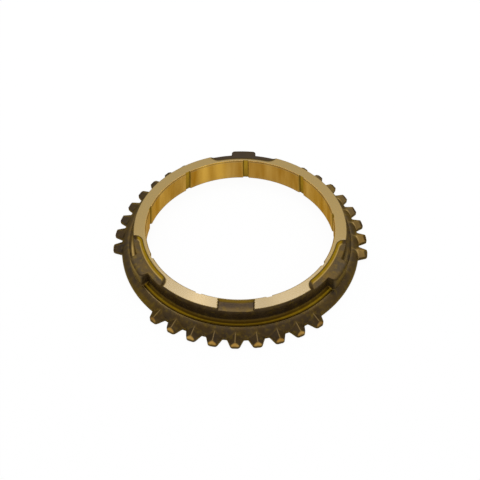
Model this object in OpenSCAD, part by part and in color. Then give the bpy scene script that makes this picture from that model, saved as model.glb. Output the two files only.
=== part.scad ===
// Synchronizer ring: one forged and turned brass ring with a conical friction bore,
// three lugs in shallow pockets, one notch and three groups of pointed dog teeth.
// The gear-side face lies on z = 0, the axis is Z and the first lug points along +Y.

/* [Friction bore] */
// Diameter of the friction cone at the hub-side face
bore_d = 58.3; // [50:0.1:66]
// Half angle of the friction cone, in degrees
cone_angle = 6.5; // [5:0.5:8]
// Bevel of the bore's edge at the hub-side face
bore_bevel = 0.3; // [0.1:0.05:0.5]
// Bevel of the bore's edge at the gear-side face
gear_bevel = 0.1; // [0.05:0.05:0.5]
// Number of oil grooves along the cone
groove_count = 9; // [3:1:18]
// Width of an oil groove
groove_w = 1.8; // [1:0.1:3]
// Depth of an oil groove below the cone
groove_depth = 0.55; // [0.2:0.05:0.7]
// Turn of the first groove clockwise from the first lug, in degrees
groove_turn = 1.6; // [0:0.1:10]

/* [Body] */
// Height between the gear-side face and the hub-side face
ring_h = 8.5; // [7.5:0.1:10]
// Width of the hub-side face from the bore bevel to the outer wall
face_w = 3.75; // [3:0.05:5]
// Bevel of the face's edge at the outer wall
face_bevel = 0.3; // [0.1:0.05:0.5]
// Fillet at the foot of the outer wall
wall_fillet = 0.9; // [0.6:0.1:1.4]
// Height of the fillet's foot above the gear-side face
fillet_h = 3.4; // [3:0.1:4.5]

/* [Flange] */
// Height of the flange's crest above the gear-side face
flange_h = 3.15; // [2.9:0.05:4]
// Width of the ledge from the fillet's foot to the bottom of the channel
ledge_w = 0.55; // [0.3:0.05:1]
// Depth of the channel below the crest
channel_depth = 0.2; // [0.1:0.05:0.4]
// Width of the flank from the bottom of the channel up to the crest
channel_flank = 0.3; // [0.2:0.05:0.6]
// Width of the flat crest
crest_w = 0.25; // [0.1:0.05:0.6]
// Radius of the shoulder from the crest down to the roots of the teeth
shoulder_r = 2.4; // [1.2:0.1:2.6]

/* [Teeth] */
// Number of groups of teeth, which is also the number of lugs
group_count = 3; // [2:1:4]
// Number of tooth places in a full turn
tooth_places = 39; // [36:3:42]
// Number of teeth in a group
group_teeth = 9; // [3:1:9]
// Length of a tooth outward from the flange
tooth_l = 2.7; // [2:0.05:4]
// Width of a tooth where it leaves the flange
tooth_root_w = 4.7; // [3.5:0.1:5]
// Width of a tooth at its tip, before its corners are rounded
tooth_tip_w = 2.4; // [1.5:0.1:3.5]
// Radius of a tooth's two tip corners
tip_corner = 0.75; // [0.2:0.05:0.8]
// Height of a tooth's ridge above the gear-side face, at the flange's edge
tooth_h = 2.6; // [2.2:0.05:2.7]
// Fall of the ridge toward the tip, in degrees
ridge_fall = 10; // [2:1:12]
// Height of the upright foot of a tooth's tip
tip_foot = 0.85; // [0.4:0.05:1.2]
// Lean of the tip's face above its foot, back toward the ring, in degrees
tip_lean = 27; // [5:1:35]
// Slope of the two locking faces that meet in the ridge, in degrees
roof_angle = 31; // [20:1:35]

/* [Lugs and pockets] */
// Width of a lug
lug_w = 8.2; // [5:0.1:10]
// Length of a lug outward from the outer wall
lug_l = 2.45; // [1.5:0.05:2.8]
// Radius of a lug's upright outer corners
lug_corner = 1; // [0.3:0.1:1.5]
// Bevel of a lug's outer top edge
lug_bevel = 0.45; // [0.1:0.05:0.6]
// Angle that a pocket spans in the hub-side face, in degrees
pocket_span = 40; // [30:1:60]
// Depth of the pockets below the hub-side face
pocket_depth = 0.75; // [0.4:0.05:1.2]
// Width of the flat strip between a pocket and the bore bevel
pocket_lip = 0.85; // [0.7:0.05:1.2]
// Run of a pocket's sloping wall
pocket_slope = 1.15; // [0.3:0.05:1.4]
// Radius of a pocket's inner corners in the hub-side face
pocket_corner = 3; // [2.6:0.1:3.4]

/* [Notch] */
// Width of the notch, midway between two lugs
notch_w = 10.3; // [6:0.1:14]
// Depth of the notch below the hub-side face
notch_depth = 0.75; // [0.4:0.05:1.2]
// Width of the strip between the notch and the bore bevel
notch_lip = 0.1; // [0.05:0.05:0.6]
// Run of the notch's sloping inner wall
notch_slope = 0.6; // [0.3:0.05:1]

/* [Hidden] */

brass = [0.62, 0.49, 0.26];
// Fineness of curves
$fa = 2;
$fs = 0.2;
// Overshoot of a cut past the face that it opens
over = 1;
// Overshoot of a slope, short enough to stay clear of what lies beyond it
skim = 0.2;
// Bite of a rounded corner past the two sides that it joins
corner_bite = 0.03;

bore_r = bore_d / 2;
bore_big_r = bore_r + ring_h * tan(cone_angle);
cone_l = ring_h / cos(cone_angle);
face_in = bore_r + bore_bevel;
wall_r = face_in + face_w;
fillet_r = wall_r + wall_fillet;
channel_r = fillet_r + ledge_w;
crest_in = channel_r + channel_flank;
crest_out = crest_in + crest_w;
flange_r = crest_out + shoulder_r;
tip_r = flange_r + tooth_l;
lug_r = wall_r + lug_l;
// Radius inside which the section is solid until the bore is cut
core_r = bore_r - over;
group_angle = 360 / group_count;
tooth_angle = 360 / tooth_places;
groove_angle = 360 / groove_count;
// Lean of a tooth's sides from the tooth's own radius
tooth_lean = atan((tooth_root_w - tooth_tip_w) / 2 / tooth_l);

// Section of the ring without its teeth and lugs, before anything is cut from it
module section() {
    difference() {
        union() {
            polygon([
                [core_r, 0],
                [flange_r, 0],
                [flange_r, flange_h - shoulder_r],
                [crest_out, flange_h - shoulder_r],
                [crest_out, flange_h],
                [crest_in, flange_h],
                [channel_r, flange_h - channel_depth],
                [fillet_r, fillet_h],
                [fillet_r, fillet_h + wall_fillet],
                [wall_r, fillet_h + wall_fillet],
                [wall_r, ring_h - face_bevel],
                [wall_r - face_bevel, ring_h],
                [core_r, ring_h],
            ]);
            shoulder();
        }
        translate([fillet_r, fillet_h + wall_fillet]) circle(wall_fillet);
    }
}

// Quarter disc that rounds the flange from its crest down to the tooth roots
module shoulder() {
    translate([crest_out, flange_h - shoulder_r])
        intersection() {
            circle(shoulder_r);
            square(shoulder_r);
        }
}

// What lies outside a rounded corner of a plan, between the directions of the two sides' normals
module corner_rest(centre, corner, first, second) {
    reach = 2 * corner;
    translate(centre)
        difference() {
            polygon([[0, 0], reach * first, reach * (first + second), reach * second]);
            circle(corner + corner_bite);
        }
}

// Plan of one tooth along +Y, from inside the flange out to the rounded tip
module tooth_plan() {
    start = [tooth_root_w / 2 + shoulder_r * tan(tooth_lean), crest_out];
    end = [tooth_tip_w / 2 - skim * tan(tooth_lean), tip_r + skim];
    difference() {
        intersection() {
            polygon([[-start.x, start.y], start, end, [-end.x, end.y]]);
            circle(tip_r);
        }
        tip_rest();
        mirror([1, 0]) tip_rest();
    }
}

// What the rounding takes from the right corner of a tooth's tip
module tip_rest() {
    // Distance of the right side's line from the axis of the ring
    side = tooth_tip_w / 2 * cos(tooth_lean) + tip_r * sin(tooth_lean);
    turn = asin((side - tip_corner) / (tip_r - tip_corner)) - tooth_lean;
    out = [sin(turn), cos(turn)];
    corner_rest((tip_r - tip_corner) * out, tip_corner, [cos(tooth_lean), sin(tooth_lean)], out);
}

// One tooth along +Y, with two locking faces that meet in a falling ridge
module tooth() {
    roof_h = tooth_h + over;
    roof_reach = roof_h / tan(roof_angle);
    roof_l = tooth_l + over;
    intersection() {
        linear_extrude(tooth_h + over) tooth_plan();
        translate([0, flange_r, tooth_h]) rotate([-ridge_fall, 0, 0])
            translate([0, roof_l, 0]) rotate([90, 0, 0])
                linear_extrude(roof_l + flange_r - wall_r)
                    polygon([[-roof_reach, -roof_h], [roof_reach, -roof_h], [0, 0]]);
        tip_cone();
    }
}

// Cone around the ring that leans the tips' faces back above their feet
module tip_cone() {
    cone_h = tooth_h + 2 * over;
    low_r = tip_r + (tip_foot + over) * tan(tip_lean);
    translate([0, 0, -over]) cylinder(h = cone_h, r1 = low_r, r2 = low_r - cone_h * tan(tip_lean));
}

// The groups lie midway between the lugs
module teeth() {
    for (group = [0 : group_count - 1])
        for (place = [0 : group_teeth - 1])
            rotate((group + 0.5) * group_angle + (place - (group_teeth - 1) / 2) * tooth_angle)
                tooth();
}

// Plan of one lug along +Y, from inside the outer wall out to the lug radius
module lug_plan() {
    difference() {
        intersection() {
            translate([-lug_w / 2, wall_r - over]) square([lug_w, lug_l + 2 * over]);
            circle(lug_r);
        }
        lug_rest();
        mirror([1, 0]) lug_rest();
    }
}

// What the rounding takes from the right corner of a lug
module lug_rest() {
    turn = asin((lug_w / 2 - lug_corner) / (lug_r - lug_corner));
    out = [sin(turn), cos(turn)];
    corner_rest((lug_r - lug_corner) * out, lug_corner, [1, 0], out);
}

// The lugs' tops are cut level with the pocket floors, and a cone bevels their outer edges
module lugs() {
    bevel_r = lug_r - lug_bevel - pocket_depth;
    for (lug = [0 : group_count - 1])
        rotate(lug * group_angle)
            intersection() {
                linear_extrude(ring_h) lug_plan();
                cylinder(h = ring_h, r1 = bevel_r + ring_h, r2 = bevel_r);
            }
}

// Section of a cut into the hub-side face, with a wall that slopes from lip to floor
module sloped_cut(lip, slope, depth, reach) {
    polygon([
        [lip - slope * skim / depth, ring_h + skim],
        [lip + slope, ring_h - depth],
        [reach, ring_h - depth],
        [reach, ring_h + skim],
    ]);
}

// A pocket along +Y, as a tapered cutter leaves it that runs along an arc past the lug
module pocket() {
    path_r = face_in + pocket_lip + pocket_corner;
    turn = pocket_span / 2 - asin(pocket_corner / path_r);
    out = [sin(turn), cos(turn)];
    end = 2 * lug_r * out;
    intersection() {
        rotate_extrude()
            sloped_cut(face_in + pocket_lip, pocket_slope, pocket_depth, lug_r + over);
        linear_extrude(ring_h + over) polygon([[0, 0], end, [-end.x, end.y]]);
    }
    for (side = [-1, 1])
        translate([side * path_r * out.x, path_r * out.y, ring_h - pocket_depth]) cutter();
}

// The tapered cutter, which bites a little past the slope between the ends of its path
module cutter() {
    floor_r = pocket_corner - pocket_slope + corner_bite;
    cylinder(
        h = pocket_depth + skim,
        r1 = floor_r,
        r2 = floor_r + pocket_slope * (pocket_depth + skim) / pocket_depth
    );
}

// One pocket around each lug
module pockets() {
    for (lug = [0 : group_count - 1])
        rotate(lug * group_angle)
            pocket();
}

// The notch lies midway between the second lug and the next one
module notch() {
    rotate(1.5 * group_angle)
        intersection() {
            rotate_extrude()
                sloped_cut(face_in + notch_lip, notch_slope, notch_depth, lug_r + over);
            translate([-notch_w / 2, 0, 0]) cube([notch_w, lug_r + over, ring_h + over]);
        }
}

// The friction cone, narrow at the hub-side face, with both edges bevelled
module bore() {
    rotate_extrude()
        polygon([
            [0, -over],
            [bore_big_r + gear_bevel, -over],
            [bore_big_r + gear_bevel, 0],
            [bore_big_r - gear_bevel * tan(cone_angle), gear_bevel],
            [bore_r + bore_bevel * tan(cone_angle), ring_h - bore_bevel],
            [face_in, ring_h],
            [face_in, ring_h + over],
            [0, ring_h + over],
        ]);
}

// Each groove follows the slope of the cone
module grooves() {
    for (groove = [0 : groove_count - 1])
        rotate(groove * groove_angle - groove_turn)
            translate([0, bore_r, ring_h]) rotate([cone_angle, 0, 0])
                translate([-groove_w / 2, -over, -cone_l - over])
                    cube([groove_w, over + groove_depth, cone_l + 2 * over]);
}

module synchronizer_ring() {
    color(brass)
        difference() {
            union() {
                rotate_extrude() section();
                lugs();
                teeth();
            }
            bore();
            grooves();
            pockets();
            notch();
        }
}

synchronizer_ring();
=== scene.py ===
import math

import bpy
import numpy as np
from mathutils import Matrix, Vector


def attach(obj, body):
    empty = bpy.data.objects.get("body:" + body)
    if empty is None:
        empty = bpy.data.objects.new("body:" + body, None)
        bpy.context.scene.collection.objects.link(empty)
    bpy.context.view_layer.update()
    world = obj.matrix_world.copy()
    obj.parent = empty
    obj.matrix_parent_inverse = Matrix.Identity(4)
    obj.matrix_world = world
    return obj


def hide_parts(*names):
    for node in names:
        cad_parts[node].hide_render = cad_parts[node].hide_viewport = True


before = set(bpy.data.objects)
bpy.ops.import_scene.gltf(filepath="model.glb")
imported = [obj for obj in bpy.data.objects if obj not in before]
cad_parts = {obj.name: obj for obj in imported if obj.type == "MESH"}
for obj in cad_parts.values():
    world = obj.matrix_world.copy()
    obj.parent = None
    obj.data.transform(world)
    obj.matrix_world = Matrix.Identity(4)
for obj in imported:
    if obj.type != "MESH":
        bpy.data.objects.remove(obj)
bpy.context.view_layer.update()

# Sizes of the ring as in the CAD, but for softer tooth tips: millimetres, slopes and degrees of turn
MM = 0.001
BORE_R = 29.15
CONE = math.tan(math.radians(6.5))
BORE_BEVEL = 0.3
GEAR_BEVEL = 0.1
GROOVES = 9
GROOVE_W = 1.8
GROOVE_DEPTH = 0.55
GROOVE_TURN = 1.6
RING_H = 8.5
FACE_IN = BORE_R + BORE_BEVEL
WALL_R = FACE_IN + 3.75
FACE_BEVEL = 0.3
WALL_FILLET = 0.9
FILLET_R = WALL_R + WALL_FILLET
FILLET_H = 3.4
FLANGE_H = 3.15
CHANNEL_R = FILLET_R + 0.55
CHANNEL_H = FLANGE_H - 0.2
CREST_IN = CHANNEL_R + 0.3
CREST_OUT = CREST_IN + 0.25
SHOULDER_R = 2.4
FLANGE_R = CREST_OUT + SHOULDER_R
GROUPS = 3
TOOTH_PLACES = 39
GROUP_TEETH = 9
TOOTH_L = 2.7
TOOTH_ROOT_W = 4.7
TOOTH_TIP_W = 2.4
TIP_CORNER = 0.95
TOOTH_H = 2.6
RIDGE_FALL = math.tan(math.radians(10))
TIP_FOOT = 0.85
TIP_LEAN = math.tan(math.radians(27))
ROOF = math.tan(math.radians(31))
TIP_R = FLANGE_R + TOOTH_L
LUG_W = 8.2
LUG_R = WALL_R + 2.45
LUG_CORNER = 1
LUG_BEVEL = 0.45
POCKET_SPAN = 40
POCKET_DEPTH = 0.75
POCKET_IN = FACE_IN + 0.85
POCKET_SLOPE = 1.15
POCKET_CORNER = 3
NOTCH_AT = 180
NOTCH_W = 10.3
NOTCH_DEPTH = 0.75
NOTCH_IN = FACE_IN + 0.1
NOTCH_SLOPE = 0.6

# Sizes that only the mesh has, in millimetres: run of upright walls, softness of joints, rounded edges
WALL_RUN = 0.12
GROOVE_RUN = 0.2
TOOTH_ROOT_SOFT = 0.15
TOOTH_FOOT_SOFT = 0.08
RIDGE_SOFT = 0.06
LUG_ROOT_SOFT = 0.12
SUNK_BEVEL = 0.1
TOOTH_EDGE = 0.1
FLANGE_EDGE = 0.03
GEAR_EDGE = 0.12

# Where the middle of an edge lies, as a share of its width: on a round edge and on a bevelled one
ROUND_MIDDLE = 0.29
BEVEL_MIDDLE = 0.45
# How softly the banks of the pockets and the notch meet their floors, as a share of the bank
BANK_SOFT = 0.15
# A height below everything, for places without a form
NOTHING = -10

# Columns of the mesh around the axis, a whole number to each tooth place
COLUMNS = TOOTH_PLACES * 30
# Lines of the mesh: least millimetres between two on the face, degrees on the fillet, count on the teeth
LEAST_STEP = 0.03
FILLET_STEP = 15
TOOTH_LINES = 20
# How much the teeth's lines crowd at their outer edge, from 0 for evenly spaced ones
CROWDING = 0.7
# Rounds in which the teeth's top edge settles, steps of the fine section and of its softening
SETTLE_ROUNDS = 8
FINE_STEPS = 4000
SOFT_STEPS = 131

# Places of single streaks of paint, most of them painted glints, highlights and shade: clock angle,
# clockwise from +Y, and how far it fades to both sides
BORE_GLINTS = ((333.5, 4.5), (344, 4.5))
LEFT_DUSK = (312, 7)
RIGHT_DUSK = (36, 6)
FACE_GLEAM = (200, 6)
FACE_SHADE = (166, 7)
CALM_WALL = (104, 12)
LEFT_SLIVER = (255, 7)
RIGHT_SLIVER = (106, 6)
AMBER_TEETH = (228, 9)
ROSY_TEETH = (94, 9)


def show(name, data):
    """Adds an object to the scene."""
    made = bpy.data.objects.new(name, data)
    bpy.context.scene.collection.objects.link(made)
    return made


def fold(angle, count):
    """Angle from the nearest of so many even directions."""
    step = 360 / count
    return (angle + step / 2) % step - step / 2


def soft_max(one, other, soft):
    """The larger of two values, with a soft turn from one to the other."""
    return (one + other + np.sqrt((one - other) ** 2 + soft * soft)) / 2


def ease(share):
    """A soft rise from 0 to 1."""
    share = np.clip(share, 0, 1)
    return share * share * (3 - 2 * share)


def rise(value, start, run):
    """A soft rise from 0 at the start to 1 after the run."""
    return ease((value - start) / run)


def fall(value, end, run):
    """A soft fall to 0 at the end, from 1 before the run."""
    return ease((end - value) / run)


def peak(offset, width):
    """1 in the middle, fading to both sides."""
    return np.exp(-((offset / width) ** 2))


def bank(share):
    """A rise from 0 to 1 that starts sharply and ends softly."""
    return np.clip((share + 1 - np.sqrt((share - 1) ** 2 + BANK_SOFT * BANK_SOFT)) / 2, 0, 1)


def outline(turn, radius, corner, side, lean):
    """Radius of a plan with straight sides and rounded corners, at angles from its middle."""
    angle = np.radians(np.abs(turn))
    inner = radius - corner
    bend = math.asin((side - corner) / inner) - lean
    touch = math.atan2(
        inner * math.sin(bend) + corner * math.cos(lean),
        inner * math.cos(bend) + corner * math.sin(lean),
    )
    off = inner * np.sin(angle - bend)
    arc = inner * np.cos(angle - bend) + np.sqrt(np.maximum(corner**2 - off**2, 0))
    never_zero = np.maximum(np.sin(angle + lean), 1e-3)
    return np.where(angle < bend, radius, np.where(angle < touch, arc, side / never_zero))


# Plan of the ring, column by column: edge of the flange with its teeth, wall with its lugs, grooves
clock = np.arange(COLUMNS) * 360 / COLUMNS
pitch = 360 / TOOTH_PLACES
tooth_turn = fold(clock - pitch / 2, TOOTH_PLACES)
group_turn = fold(clock - tooth_turn - 180 / GROUPS, GROUPS)
toothed = np.abs(group_turn) < GROUP_TEETH / 2 * pitch
tooth_lean = math.atan((TOOTH_ROOT_W - TOOTH_TIP_W) / 2 / TOOTH_L)
tooth_side = TOOTH_TIP_W / 2 * math.cos(tooth_lean) + TIP_R * math.sin(tooth_lean)
tooth_r = np.where(toothed, outline(tooth_turn, TIP_R, TIP_CORNER, tooth_side, tooth_lean), 0)
edge_r = soft_max(FLANGE_R, tooth_r, TOOTH_ROOT_SOFT)
lug_turn = fold(clock, GROUPS)
lug_r = outline(lug_turn, LUG_R, LUG_CORNER, LUG_W / 2, 0)
out_r = soft_max(WALL_R, lug_r, LUG_ROOT_SOFT)
on_lug = rise(out_r, WALL_R + 0.3, 0.5)
groove_at = BORE_R * np.sin(np.radians(fold(clock - GROOVE_TURN, GROOVES)))
groove_off = np.abs(groove_at)
groove = ease((GROOVE_W / 2 - groove_off) / GROOVE_RUN + 0.5)

# Shares of the ring's stretches for the paint, by the angle from the notch at the front or by clock angle
off_front = np.abs(clock - NOTCH_AT)
behind = rise(off_front, 50, 40)
rear = rise(off_front, 130, 20)
open_front = fall(off_front, 64, 6)
left_side = rise(clock, 225, 20) * fall(clock, 345, 20)
right_side = rise(clock, 20, 30) * fall(clock, 115, 20)
groove_far = rise(np.where(clock > NOTCH_AT, groove_at, -groove_at), 0, 0.4)


def streak(middle, width):
    """Share of a streak of paint across the ring."""
    return peak(clock - middle, width)


# Pockets and notch in the hub-side face, each pocket as the path of a round cutter
path_r = POCKET_IN + POCKET_CORNER
path_turn = math.radians(POCKET_SPAN / 2) - math.asin(POCKET_CORNER / path_r)
past_end = np.maximum(np.abs(np.radians(lug_turn)) - path_turn, 0)


def pocket_share(r):
    """How far down the pockets' banks a radius lies, from 0 at their edge to 1 at their foot."""
    short = np.maximum(path_r - r * np.cos(past_end), 0)
    return (POCKET_CORNER - np.hypot(short, r * np.sin(past_end))) / POCKET_SLOPE


def notch_shares(r):
    """The same for the notch's sloping inner end and for its sides."""
    across = r * np.sin(np.radians(off_front))
    side = np.where(off_front < 90, (NOTCH_W / 2 - across) / WALL_RUN, -1)
    return (r - NOTCH_IN) / NOTCH_SLOPE, side


def drop(r):
    """Depth of the pockets and the notch below the hub-side face."""
    pocket = bank(pocket_share(r))
    notch = bank(np.minimum(*notch_shares(r)))
    return np.maximum(POCKET_DEPTH * pocket, NOTCH_DEPTH * notch)


def drop_paint(r):
    """Gold with painted highlight, wear with painted highlight, painted shade and its cool tint, for the
    pockets and the notch.
    """
    pocket = pocket_share(r)
    # The banks' gold is painted highlight, left out at the pocket ends and in the rear pockets; painted
    # shade, partly cool, falls on the banks' top edges, the rear pockets, the far ends and the notch
    near_end = rise(past_end, 0, 0.04) * (off_front < 60)
    far_end = rise(past_end, 0, 0.03) * rise(r, POCKET_IN + 1.3, 0.8)
    seen = (1 - near_end) * (1 - far_end) * (1 - 0.85 * rear)
    banks = ease(3 * pocket) * fall(pocket, 1.15, 0.3) * seen
    slope, side = notch_shares(r)
    in_notch = ease(side - 1) * ease(4 * slope)
    notch_out = 0.8 * rise(slope, 2.8, 3)
    notch_floor = in_notch * (1 - notch_out)
    dark = peak(pocket - 0.06, 0.16) + rear * ease(pocket)
    dark = dark + far_end * ease(4 * pocket) * fall(pocket, 1.1, 0.2)
    dark = dark + ease(2 * np.minimum(slope, side)) * ease(3 - side)
    dark = dark + notch_floor * ease(slope - 0.8)
    return {
        "gold": 0.9 * banks + 0.5 * in_notch * fall(slope, 1.1, 0.4),
        "worn": 0.8 * banks * peak(pocket - 0.95, 0.15) + 0.06 * in_notch * notch_out,
        "dark": np.minimum(dark, 1),
        "cool": rear * ease(pocket) + 0.75 * notch_floor,
    }


def shoulder(r):
    """Height of the flange's round shoulder."""
    inside = np.maximum(SHOULDER_R**2 - (r - CREST_OUT) ** 2, 0)
    return FLANGE_H - SHOULDER_R + np.sqrt(inside)


def flange(r):
    """Height of the shoulder, with nothing past its edge."""
    return np.where(r < FLANGE_R, shoulder(r), NOTHING)


def from_ridge(r):
    """Distance from the nearest tooth's ridge, to either side."""
    return r * np.sin(np.radians(tooth_turn))


def roof(r):
    """Height of the teeth's locking faces."""
    ridge = TOOTH_H - (r - FLANGE_R) * RIDGE_FALL
    return np.where(toothed, ridge - np.sqrt(from_ridge(r) ** 2 + RIDGE_SOFT**2) * ROOF, NOTHING)


def surface(r):
    """Height of the shoulder and the teeth that grow from it."""
    return soft_max(flange(r), roof(r), TOOTH_FOOT_SOFT)


def side_r(z):
    """Radius of the flange's edge at a height, with the teeth's tips that lean back."""
    return np.minimum(edge_r, TIP_R - np.maximum(z - TIP_FOOT, 0) * TIP_LEAN)


# Height of the ring's outside from the wall's foot to the flange's edge, with its small edges softened
fine_r = np.linspace(WALL_R, FLANGE_R, FINE_STEPS)
fine_bend = np.sqrt(np.maximum(WALL_FILLET**2 - (FILLET_R - fine_r) ** 2, 0))
fine_line = np.interp(
    fine_r,
    [FILLET_R, CHANNEL_R, CREST_IN, CREST_OUT],
    [FILLET_H, CHANNEL_H, FLANGE_H, FLANGE_H],
)
fine_z = np.where(
    fine_r < FILLET_R,
    FILLET_H + WALL_FILLET - fine_bend,
    np.where(fine_r < CREST_OUT, fine_line, shoulder(fine_r)),
)
window = np.hanning(SOFT_STEPS)
padded = np.pad(fine_z, SOFT_STEPS // 2, mode="edge")
softened = np.convolve(padded, window / window.sum(), mode="valid")
with_edges = (fine_r > FILLET_R - 0.4) & (fine_r < CREST_OUT + 0.3)
fine_z = np.where(with_edges, softened, fine_z)


def base_height(r):
    """Height of the ring's outside between its wall and its teeth."""
    return np.interp(r, fine_r, fine_z)


# Paint of each point in shares from 0 to 1, for which the plain factors below are strengths; the wear
# share also paints highlights, the gold share is mostly painted highlight, the dark share is painted
# shade, and the cool share tints that painted shade
PAINT = ("skin", "bore", "gold", "worn", "dark", "cool")
rows = []


def row(r, z, **paint):
    """Adds one line of points around the ring, with its paint."""
    shares = [paint.get(name, 0) for name in PAINT]
    rows.append([value * np.ones(COLUMNS) for value in (r, z, *shares)])


# Bore, from the gear side up: height, share of brown line at an edge, share of painted highlight line
# beside it
BORE_LINES = (
    (0, 0.6, 0),
    (GEAR_BEVEL, 0.6, 0),
    (0.3, 0.1, 0.2),
    (2, 0, 0),
    (6, 0, 0),
    (RING_H - 0.65, 0, 0),
    (RING_H - 0.45, 0, 0.5),
    (RING_H - BORE_BEVEL, 0.5, 0.2),
    (RING_H - BORE_BEVEL / 2, 0.6, 0),
    (RING_H, 0.25, 0),
)
# Height of its top edge, which is painted as face at the front, and of the shade in its grooves
BORE_EDGE = 0.5
GROOVE_SHADE_H = 4
# In the bore: gold with painted highlight inside the grooves, painted shade at their sides, more on the
# far side, and at their low ends; painted glints, and dusky streaks of painted shade in the skin's colour
groove_side = peak(groove_off - GROOVE_W / 2 + 0.1, 0.22)
cut_in = np.maximum(groove, groove_side)
glints = 0.65 * sum(streak(*place) for place in BORE_GLINTS)
dusky = 0.12 * streak(*LEFT_DUSK) + 0.06 * streak(*RIGHT_DUSK)
for z, brown, highlight in BORE_LINES:
    cone = BORE_R + (RING_H - z) * CONE
    low = BORE_R + RING_H * CONE + GEAR_BEVEL - z * (1 + CONE)
    high = FACE_IN - (RING_H - z) * (1 - CONE)
    low_end = groove * fall(z, GROOVE_SHADE_H, GROOVE_SHADE_H)
    browned = np.maximum(brown * behind, dusky)
    row(
        np.maximum(cone + groove * GROOVE_DEPTH, max(low, high)),
        z,
        skin=np.maximum(browned, (0.8 + 0.15 * groove_far * groove_side) * cut_in),
        bore=behind if z > RING_H - BORE_EDGE else 1,
        gold=np.maximum(0.9 * cut_in, glints),
        worn=highlight * behind * (1 - cut_in),
        dark=np.maximum((0.5 + 0.4 * groove_far) * groove_side, 0.85 * low_end),
    )

# Hub-side face: distances of its lines from its inner edge, closest at the banks, then shares of the rest
FACE_LINES = (
    0.12, 0.25, 0.4, 0.55, 0.7, 0.81, 0.89, 0.99, 1.13, 1.27, 1.41,
    1.55, 1.69, 1.83, 1.93, 2.03, 2.15, 2.3, 2.5, 2.75, 3, 3.25,
)
LAST_FACE_LINES = (0.4, 0.75, 1)
# Depth at which the forged skin is whole, and its least share at the rim
SKIN_DEPTH = 0.05
RIM_SKIN = 0.3
face_start = rows[-1][0]
sunk = drop(out_r) / POCKET_DEPTH
rim = (FACE_BEVEL + (SUNK_BEVEL - FACE_BEVEL) * sunk) * (1 - on_lug) + LUG_BEVEL * on_lug
across_face = []
for k, distance in enumerate(FACE_LINES):
    across_face.append(np.maximum(FACE_IN + distance, face_start + LEAST_STEP * (k + 1)))
rest_start = across_face[-1]
across_face += [rest_start + (out_r - rim - rest_start) * share for share in LAST_FACE_LINES]
# A streak of painted highlight on the face left of the notch, and a patch right of it where a share of
# skin colour paints shade and thins the coat
gleam = 0.25 * streak(*FACE_GLEAM)
face_shade = 0.2 * streak(*FACE_SHADE)
for k, r in enumerate(across_face):
    depth = drop(r)
    paint = drop_paint(r)
    at_rim = k == len(across_face) - 1
    forged = np.clip(depth / SKIN_DEPTH, RIM_SKIN if at_rim else face_shade, 1)
    paint["worn"] = np.maximum(paint["worn"], gleam * (1 - forged))
    row(r, RING_H - depth, skin=forged, **paint)
top_z = rows[-1][1]

# Outer wall and lugs, with their top edge, which carries a line of painted shade
edge_middle = ROUND_MIDDLE + (BEVEL_MIDDLE - ROUND_MIDDLE) * np.maximum(on_lug, 1 - sunk)
wall_z = top_z - rim
foot_z = FILLET_H + WALL_FILLET
# The wall's painted shade is deepest at the front and eased near clock 104; the lugs' outer faces get a
# pale painted highlight, more on the left
walled = (0.35 + 0.65 * open_front) * (1 - streak(*CALM_WALL))
pale = (0.06 + 0.14 * left_side) * on_lug
row(out_r - edge_middle * rim, top_z - edge_middle * rim, skin=1, dark=0.7 + 0.3 * on_lug)
row(out_r, wall_z, skin=1, worn=0.4 * left_side * on_lug, dark=0.85 * walled * (1 - 0.6 * on_lug))
for share in (1 / 3, 2 / 3, 1):
    row(
        out_r,
        wall_z + (foot_z - wall_z) * share,
        skin=1,
        worn=pale,
        dark=0.72 * walled * (1 - on_lug),
    )

# Fillet, ledge, channel and crest: distances of the lines past the fillet, and all lines' paint: a gold
# band of painted highlight, painted highlight on the crest and painted shade between them
LEDGE_LINES = (0.1, 0.26, 0.42, 0.52, 0.62, 0.76, 0.85, 0.96)
LEDGE_GOLD = (0.12, 0.22, 0.4, 0.6, 0.8, 0.9, 0.9, 0.9, 0.9, 0.85, 0.8, 0.6, 0.2, 0, 0)
LEDGE_WEAR_AND_HIGHLIGHT = (0, 0, 0.1, 0.3, 0.6, 0.9, 0.6, 0.2, 0, 0, 0, 0, 0.1, 0.35, 0.3)
LEDGE_DARK = (0.9, 0.93, 0.93, 0.9, 0.8, 0.55, 0.25, 0.45, 0.72, 0.86, 0.86, 0.8, 0.4, 0.1, 0)
MOST_DARK = 0.95
fillet_angles = np.radians(range(FILLET_STEP, 91, FILLET_STEP))
outward = [FILLET_R - WALL_FILLET * math.cos(angle) for angle in fillet_angles]
outward += [FILLET_R + distance for distance in LEDGE_LINES]
outward += [CREST_OUT]
hidden = sum((out_r > r).astype(float) for r in outward)
# The gold band of painted highlight shows at the front and in two slivers where light reaches past the
# pockets; the painted shade is deepest at the front's middle, and the crest's painted highlight is
# strongest left of the notch
sliver = np.minimum(1.3 * streak(*LEFT_SLIVER), 1) + 0.15 * streak(*RIGHT_SLIVER)
gilded = np.minimum(open_front + sliver, 1)
dimmed = 1 + 0.8 * open_front * (1 - rise(off_front, 12, 18)) - 0.7 * sliver
crested = open_front * (0.4 + 0.6 * rise(clock, 190, 12))
for k, (r, gold, worn, dark) in enumerate(zip(outward, LEDGE_GOLD, LEDGE_WEAR_AND_HIGHLIGHT, LEDGE_DARK)):
    covered = out_r > r
    strip = worn * sliver * (r < CHANNEL_R)
    lug_z = foot_z + (base_height(out_r) - foot_z) * (k + 1) / (hidden + 1)
    darkened = np.minimum(dark * np.maximum(walled, gilded) * dimmed, MOST_DARK)
    row(
        np.where(covered, out_r, r),
        np.where(covered, lug_z, base_height(r)),
        skin=1,
        gold=np.where(covered, 0, np.maximum(gold * open_front, strip)),
        worn=np.where(covered, pale, worn * crested * (r >= CHANNEL_R) + strip),
        dark=np.where(covered, 0.1, darkened),
    )

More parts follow.
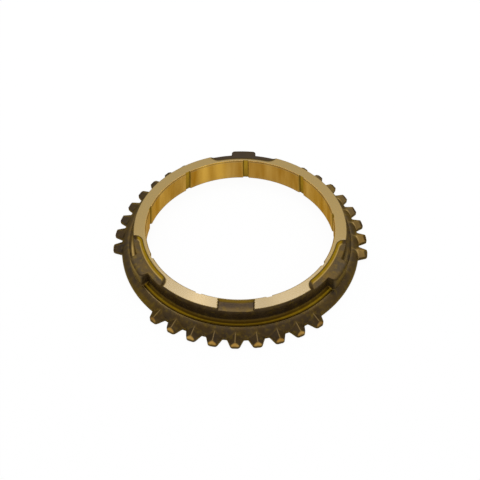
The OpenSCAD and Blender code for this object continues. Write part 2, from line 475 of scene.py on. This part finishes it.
# Shoulder and teeth, out to their top edge, where the lines lie closer together
top_r = edge_r
for _ in range(SETTLE_ROUNDS):
    top_r = side_r(surface(top_r))
grown = rise(edge_r, FLANGE_R, 0.5)
edge_round = TOOTH_EDGE * grown + FLANGE_EDGE * (1 - grown)
begin = np.maximum(CREST_OUT, out_r)
end = top_r - edge_round
at_tip = rise(edge_r, TIP_R - 0.6, 0.4)
# On the teeth: painted highlight on the right-side teeth, on the ridges at the front and along the
# teeth's feet; painted shade on the left side, on the shoulder's outer part and as dark outlines at the
# teeth's outer ends, cool on the left
amber = 0.2 * streak(*AMBER_TEETH)
rosy = right_side * (0.06 + 0.3 * streak(*ROSY_TEETH))
for k in range(1, TOOTH_LINES + 1):
    even = k / TOOTH_LINES
    share = CROWDING * math.sin(math.pi / 2 * even) + (1 - CROWDING) * even
    r = begin + (end - begin) * share
    across = from_ridge(r)
    above = np.clip(roof(r) - flange(r), -1, 1)
    on_tooth = rise(above, 0, 0.15)
    lit = right_side * rise(across, 0, 0.3)
    joint = toothed * peak(above, 0.17 + 0.14 * lit) * rise(np.abs(across), 0, 0.4) * (1 - left_side)
    outlined = on_tooth * rise(r, end - 0.75, 0.5)
    outlined = outlined * np.maximum(left_side, right_side * np.maximum(1 - lit, at_tip))
    shade = 0.7 * rise(r, CREST_OUT, 0.8) * (0.7 + 0.3 * np.maximum(open_front * toothed, left_side))
    ridge = 0.22 * open_front * on_tooth * peak(across, 0.1)
    plain = on_tooth * (1 - outlined)
    row(
        r,
        surface(r),
        skin=1 - rosy * plain,
        bore=right_side,
        gold=np.maximum(0.2 * joint, amber * rise(r, FLANGE_R - 1.2, 0.8)),
        worn=ridge + (0.04 + 0.75 * lit) * joint + 0.12 * right_side * plain,
        dark=np.maximum(shade * (1 - right_side * on_tooth), outlined),
        cool=0.7 * left_side,
    )
end_z = rows[-1][1]

# Outer side of the teeth and the flange: share of the way down, share of bare metal at the front's tips,
# which is a painted highlight; the rest of these sides and their edges get painted shade
SIDE_LINES = ((0, 0.35), (0.35, 0.95), (0.7, 0.75), (0.95, 0.15), (1.08, 0))
bright = rise(edge_r, TIP_R - 0.25, 0.25) * fall(off_front, 60, 40)
side_z = grown * (end_z - edge_round) + (1 - grown) * (FLANGE_H - SHOULDER_R)
low_z = np.minimum(TIP_FOOT, 0.6 * side_z)
row(
    top_r - ROUND_MIDDLE * edge_round,
    grown * (end_z - ROUND_MIDDLE * edge_round) + (1 - grown) * (end_z + side_z) / 2,
    skin=1 - 0.2 * bright,
    bore=1,
    worn=0.05 * bright,
    dark=0.8 * (1 - bright) * grown,
)
for share, bare in SIDE_LINES:
    z = side_z + (low_z - side_z) * share
    shine = bare * bright
    row(side_r(z), z, skin=1 - shine, bore=1, worn=0.2 * shine, dark=0.6 * (1 - shine))
row(edge_r, GEAR_EDGE, skin=1, dark=0.6)

# Gear-side face, back in to the bore, in shares of its width
GEAR_FACE_LINES = (0, 0.04, 0.97)
gear_out = edge_r - GEAR_EDGE
gear_in = rows[0][0]
for share in GEAR_FACE_LINES:
    row(gear_out + (gear_in - gear_out) * share, 0)

# The ring's mesh, with a face between each line and the next and from the last back to the first
grid = np.array(rows)
turn = np.radians(clock)
points = np.stack([grid[:, 0] * np.sin(turn), grid[:, 0] * np.cos(turn), grid[:, 1]], -1) * MM
line, column = np.meshgrid(np.arange(len(rows)), np.arange(COLUMNS), indexing="ij")
this_line = line * COLUMNS
next_line = (line + 1) % len(rows) * COLUMNS
next_column = (column + 1) % COLUMNS
corners = [this_line + column, this_line + next_column, next_line + next_column, next_line + column]
quads = np.stack(corners, -1).reshape(-1, 4)
mesh = bpy.data.meshes.new("ring")
mesh.from_pydata(points.reshape(-1, 3).tolist(), [], quads.tolist())
mesh.polygons.foreach_set("use_smooth", np.ones(len(quads), bool))
for name, shares in zip(PAINT, grid.swapaxes(0, 1)[2:]):
    values = shares.ravel().astype(np.float32)
    mesh.attributes.new(name, "FLOAT", "POINT").data.foreach_set("value", values)
mesh.update()
ring = show("ring", mesh)
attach(ring, "root")
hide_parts("synchronizer_ring")


class Nodes:
    """Builds one node tree, with plain calls for the kinds of node used here."""

    def __init__(self, owner):
        owner.use_nodes = True
        self.tree = owner.node_tree
        self.tree.nodes.clear()

    def add(self, kind, **values):
        """Adds a node with its settings."""
        made = self.tree.nodes.new(kind)
        for key, value in values.items():
            setattr(made, key, value)
        return made

    def feed(self, socket, value):
        """Puts a number or a colour on a socket, or links another node's output to it."""
        if isinstance(value, (int, float)):
            socket.default_value = value
        elif isinstance(value, tuple):
            socket.default_value = (*value, 1)
        else:
            self.tree.links.new(value, socket)

    def attribute(self, name):
        """One of the ring's paint shares."""
        return self.add("ShaderNodeAttribute", attribute_name=name).outputs["Fac"]

    def maths(self, operation, *values):
        """One sum, root or the like."""
        made = self.add("ShaderNodeMath", operation=operation)
        for socket, value in zip(made.inputs, values):
            self.feed(socket, value)
        return made.outputs[0]

    def times(self, one, other):
        """The product of two numbers."""
        return self.maths("MULTIPLY", one, other)

    def mix(self, factor, one, other):
        """Mixes two colours."""
        # This node has other sockets for each kind of value
        made = self.add("ShaderNodeMix", data_type="RGBA")
        sockets = (made.inputs[0], made.inputs[6], made.inputs[7])
        for socket, value in zip(sockets, (factor, one, other)):
            self.feed(socket, value)
        return made.outputs[2]

    def blend(self, factor, one, other):
        """Mixes two numbers."""
        made = self.add("ShaderNodeMix", data_type="FLOAT")
        sockets = (made.inputs[0], made.inputs[2], made.inputs[3])
        for socket, value in zip(sockets, (factor, one, other)):
            self.feed(socket, value)
        return made.outputs[0]

    def noise(self, scale, detail, vector):
        """Cloudy noise through space."""
        made = self.add("ShaderNodeTexNoise")
        self.feed(made.inputs["Scale"], scale)
        self.feed(made.inputs["Detail"], detail)
        self.feed(made.inputs["Vector"], vector)
        return made.outputs["Fac"]

    def lines(self, scale, detail, distance):
        """Fine lines across a distance."""
        made = self.add("ShaderNodeTexNoise", noise_dimensions="1D")
        self.feed(made.inputs["Scale"], scale)
        self.feed(made.inputs["Detail"], detail)
        self.feed(made.inputs["W"], distance)
        return made.outputs["Fac"]

    def span(self, value, low, high):
        """Stretches a range of a number to 0 to 1."""
        made = self.add("ShaderNodeMapRange")
        for name, part in (("Value", value), ("From Min", low), ("From Max", high)):
            self.feed(made.inputs[name], part)
        return made.outputs[0]

    def end(self, kind, shader):
        """Ends the tree with its shader."""
        self.feed(self.add(kind).inputs["Surface"], shader.outputs[0])


# Colours of the brass: bore with painted reflection and glints, face, forged skin, painted shade, gold
# places of mostly painted highlight, and worn places with painted highlight
BORE_DEEP = (0.36, 0.16, 0.008)
BORE_PALE = (0.6, 0.36, 0.08)
BORE_GLINT = (0.82, 0.5, 0.08)
FACE_BRASS = (0.25, 0.168, 0.045)
TOOL_LINE = (0.12, 0.072, 0.014)
SKIN_GREY = (0.05, 0.038, 0.025)
SKIN_BROWN = (0.1, 0.062, 0.018)
SKIN_FLECK = (0.15, 0.095, 0.012)
SHADE_DEEP = (0.03, 0.015, 0.004)
SHADE_PALE = (0.054, 0.035, 0.018)
SHADE_COOL = (0.036, 0.027, 0.022)
SHADE_SPECK = (0.16, 0.105, 0.012)
GOLD_DEEP = (0.3, 0.178, 0.004)
GOLD_PALE = (0.36, 0.24, 0.012)
GOLD_SHADE = (0.02, 0.007, 0.001)
WEAR_AND_HIGHLIGHT_BRASS = (0.5, 0.345, 0.13)
SHEEN = (0.9, 0.72, 0.4)

# How fine the brass's tool lines and its kinds of noise are, in waves to the metre
CUT_SCALE = 7000
BAND_SCALE = 330
PATCH_SCALE = 300
FLECK_SCALE = 750
GRAIN_SCALE = 2200

# Brass, bare where it is turned and dark where the forged skin is left
brass = bpy.data.materials.new("brass")
net = Nodes(brass)
skin, bore, gold, worn, dark, cool = (net.attribute(name) for name in PAINT)
place = net.add("ShaderNodeTexCoord").outputs["Object"]
axes = net.add("ShaderNodeSeparateXYZ")
net.feed(axes.inputs[0], place)
x, y, z = axes.outputs
flat = net.add("ShaderNodeCombineXYZ")
net.feed(flat.inputs[0], x)
net.feed(flat.inputs[1], y)
radius = net.maths("SQRT", net.maths("ADD", net.times(x, x), net.times(y, y)))
cut = net.lines(CUT_SCALE, 2, net.blend(bore, radius, z))
band = net.span(net.noise(BAND_SCALE, 2, flat.outputs[0]), 0.28, 0.72)
patch = net.span(net.noise(PATCH_SCALE, 3, place), 0.3, 0.7)
fleck = net.span(net.noise(FLECK_SCALE, 3, place), 0.52, 0.72)
grain = net.noise(GRAIN_SCALE, 2, place)

# Its bare metal, in the bore with bands of painted reflection and painted glints, and on the face
bore_colour = net.mix(gold, net.mix(band, BORE_DEEP, BORE_PALE), BORE_GLINT)
bare = net.mix(bore, FACE_BRASS, bore_colour)
bare = net.mix(net.times(cut, 0.24), bare, TOOL_LINE)

# Its forged skin, with painted shade, gold places that are mostly painted highlight, and deep painted
# shade where gold and shade meet
forged = net.mix(patch, SKIN_GREY, SKIN_BROWN)
forged = net.mix(net.times(fleck, 0.45), forged, SKIN_FLECK)
shade = net.mix(cool, net.mix(band, SHADE_DEEP, SHADE_PALE), SHADE_COOL)
forged = net.mix(net.times(dark, 0.85), forged, shade)
speck = net.times(net.times(fleck, dark), net.blend(cool, 0.4, 0.0))
forged = net.mix(speck, forged, SHADE_SPECK)
forged = net.mix(gold, forged, net.mix(fleck, GOLD_DEEP, GOLD_PALE))
gilt = net.maths("MINIMUM", net.times(gold, 1.6), 0.9)
forged = net.mix(net.times(gilt, dark), forged, GOLD_SHADE)

# Its surface, lightened at worn places and at painted highlights
colour = net.mix(worn, net.mix(skin, bare, forged), WEAR_AND_HIGHLIGHT_BRASS)
rough = net.blend(skin, net.blend(cut, 0.46, 0.52), net.blend(grain, 0.4, 0.6))
bump = net.add("ShaderNodeBump")
net.feed(bump.inputs["Strength"], 0.35)
net.feed(bump.inputs["Distance"], 0.05 * MM)
net.feed(bump.inputs["Height"], net.blend(skin, net.times(cut, 0.05), grain))
shader = net.add("ShaderNodeBsdfPrincipled")
net.feed(shader.inputs["Base Color"], colour)
net.feed(shader.inputs["Roughness"], rough)
net.feed(shader.inputs["Metallic"], net.blend(skin, 1.0, 0.95))
net.feed(shader.inputs["Coat Weight"], net.blend(net.maths("MAXIMUM", skin, bore), 1.0, 0.0))
net.feed(shader.inputs["Coat Roughness"], 0.16)
net.feed(shader.inputs["Specular Tint"], SHEEN)
net.feed(shader.inputs["Normal"], bump.outputs[0])
net.end("ShaderNodeOutputMaterial", shader)
mesh.materials.append(brass)


def seen_directly(net):
    """1 for rays from the camera and for reflections, 0 for the light that surfaces scatter."""
    path = net.add("ShaderNodeLightPath")
    direct = net.maths("MAXIMUM", path.outputs["Is Camera Ray"], path.outputs["Is Glossy Ray"])
    return net.maths("MAXIMUM", direct, path.outputs["Is Transmission Ray"])


# White room, a little dimmer as a light than it looks
WHITE = (1, 1, 1)
ROOM_LIGHT = 0.8
ROOM_LOOK = 1.0
world = bpy.data.worlds.new("room")
bpy.context.scene.world = world
net = Nodes(world)
room = net.add("ShaderNodeBackground")
net.feed(room.inputs["Color"], WHITE)
net.feed(room.inputs["Strength"], net.blend(seen_directly(net), ROOM_LIGHT, ROOM_LOOK))
net.end("ShaderNodeOutputWorld", room)

# White table, just below the ring, on which the ring keeps a faint shadow
TABLE_HALF = 1
TABLE_GAP = 0.1 * MM
PAPER_WHITE = (0.95, 0.95, 0.95)
PAPER_GLOW = 0.95
table_corners = [(x * TABLE_HALF, y * TABLE_HALF, 0) for x, y in ((-1, -1), (1, -1), (1, 1), (-1, 1))]
table_mesh = bpy.data.meshes.new("table")
table_mesh.from_pydata(table_corners, [], [(0, 1, 2, 3)])
floor = show("table", table_mesh)
floor.location.z = -TABLE_GAP
paper = bpy.data.materials.new("paper")
net = Nodes(paper)
matt = net.add("ShaderNodeBsdfDiffuse")
net.feed(matt.inputs["Color"], PAPER_WHITE)
glow = net.add("ShaderNodeEmission")
net.feed(glow.inputs["Color"], WHITE)
net.feed(glow.inputs["Strength"], 1)
both = net.add("ShaderNodeMixShader")
net.feed(both.inputs[0], net.times(seen_directly(net), PAPER_GLOW))
net.feed(both.inputs[1], matt.outputs[0])
net.feed(both.inputs[2], glow.outputs[0])
net.end("ShaderNodeOutputMaterial", both)
table_mesh.materials.append(paper)

# One soft box above and behind the ring, in metres and watts
LAMP_SIZE = 0.24
LAMP_POWER = 0.85
LAMP_PLACE = (0, 0.2, 0.46)
lamp = bpy.data.lights.new("soft_box", "AREA")
lamp.size = LAMP_SIZE
lamp.energy = LAMP_POWER
soft_box = show("soft_box", lamp)
soft_box.location = LAMP_PLACE
soft_box.rotation_euler = (-soft_box.location).to_track_quat("-Z", "Y").to_euler()

# Camera at the photograph's angle, aimed at the middle of the hub-side face, in metres
CAMERA_TURN = math.radians(2.6635)
CAMERA_RISE = math.radians(46.684)
CAMERA_ROLL = math.radians(-0.7523)
CAMERA_DISTANCE = 0.21234
level = math.cos(CAMERA_RISE)
away = Vector((math.sin(CAMERA_TURN) * level, -math.cos(CAMERA_TURN) * level, math.sin(CAMERA_RISE)))
camera = show("camera", bpy.data.cameras.new("camera"))
camera.matrix_world = (
    Matrix.Translation(Vector((0, 0, RING_H * MM)) + away * CAMERA_DISTANCE)
    @ away.to_track_quat("Z", "Y").to_matrix().to_4x4()
    @ Matrix.Rotation(CAMERA_ROLL, 4, "Z")
)
camera.data.sensor_width = 36
camera.data.lens = 51.138
camera.data.shift_y = -0.03429
camera.data.clip_start = 0.01
camera.data.clip_end = 10
bpy.context.scene.camera = camera
bpy.context.scene.view_settings.view_transform = "Standard"
